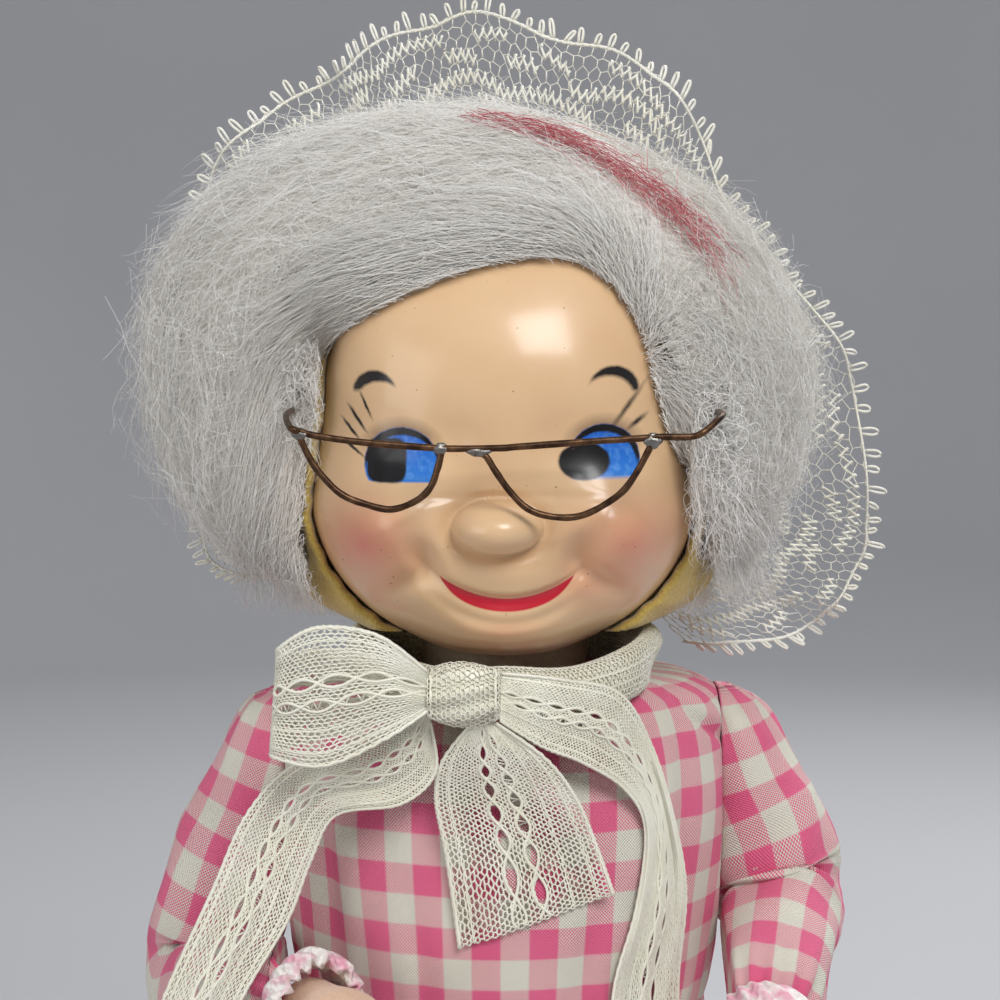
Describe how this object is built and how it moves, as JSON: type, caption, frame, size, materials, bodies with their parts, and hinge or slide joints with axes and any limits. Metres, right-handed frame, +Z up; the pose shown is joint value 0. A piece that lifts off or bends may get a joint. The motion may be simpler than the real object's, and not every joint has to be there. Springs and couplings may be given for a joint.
{
  "type": "bottle doll",
  "caption": "Granny doll that slips over a bottle: card sleeve in a gathered dress, turning head with a moulded mask face, wig, lace bonnet and wire spectacles, swinging arms.",
  "frame": {"origin": "middle of the base circle, on the surface the doll stands on", "axes": "+Z up along the neck, -Y the way the doll faces, +X the doll's left"},
  "size_m": [0.18, 0.18, 0.3864],
  "materials": {
    "card": "plain grey-brown board",
    "gingham_cloth": "pink and white gingham cotton",
    "ivory_lace": "aged ivory machine lace",
    "painted_mask": "glossy painted peach, features painted on",
    "yellow_flannel": "brushed yellow flannel",
    "white_mohair": "teased white mohair",
    "red_yarn": "thin red fibre",
    "hand_felt": "peach felt",
    "arm_wire": "soft steel wire",
    "bronze_wire": "tarnished bronze wire"
  },
  "bodies": {
    "body": {"bottle_sleeve": "card", "shoulder_cone": "card", "neck_tube": "card", "skirt": "gingham_cloth", "waistband": "gingham_cloth", "bodice": "gingham_cloth", "bodice_midriff": "gingham_cloth", "neck_lace": "ivory_lace", "bow_knot": "ivory_lace", "bow_loop": "ivory_lace", "bow_center_tail": "ivory_lace", "bow_right_tail": "ivory_lace", "bow_left_tail": "ivory_lace", "left_shoulder_bush": "card", "right_shoulder_bush": "card"},
    "head": {"face_mask": "painted_mask", "head_back": "yellow_flannel", "head_socket": "card", "wig": "white_mohair", "hair_ribbon": "red_yarn", "bonnet_crown": "ivory_lace", "bonnet_ruffle": "ivory_lace"},
    "left_arm": {"left_arm_wire": "arm_wire", "left_sleeve": "gingham_cloth", "left_cuff": "ivory_lace", "left_hand": "hand_felt"},
    "right_arm": {"right_arm_wire": "arm_wire", "right_sleeve": "gingham_cloth", "right_cuff": "ivory_lace", "right_hand": "hand_felt"},
    "glasses": {"glasses_bar": "bronze_wire", "left_lens_wire": "bronze_wire", "right_lens_wire": "bronze_wire"}
  },
  "joints": [
    {"name": "head_turn", "type": "hinge", "parent": "body", "child": "head", "pos_m": [0, 0, 0.28], "axis": [0, 0, 1], "range_deg": [-30, 30]},
    {"name": "left_shoulder", "type": "hinge", "parent": "body", "child": "left_arm", "pos_m": [0.0477, 0, 0.224], "axis": [-1, 0, 0], "range_deg": [-8, 40]},
    {"name": "right_shoulder", "type": "hinge", "parent": "body", "child": "right_arm", "pos_m": [-0.0477, 0, 0.224], "axis": [-1, 0, 0], "range_deg": [-8, 40], "deforming": ["bow_right_tail"]},
    {"name": "glasses_pull", "type": "slide", "parent": "head", "child": "glasses", "axis": [0, -1, 0], "range_m": [0, 0.04]}
  ]
}
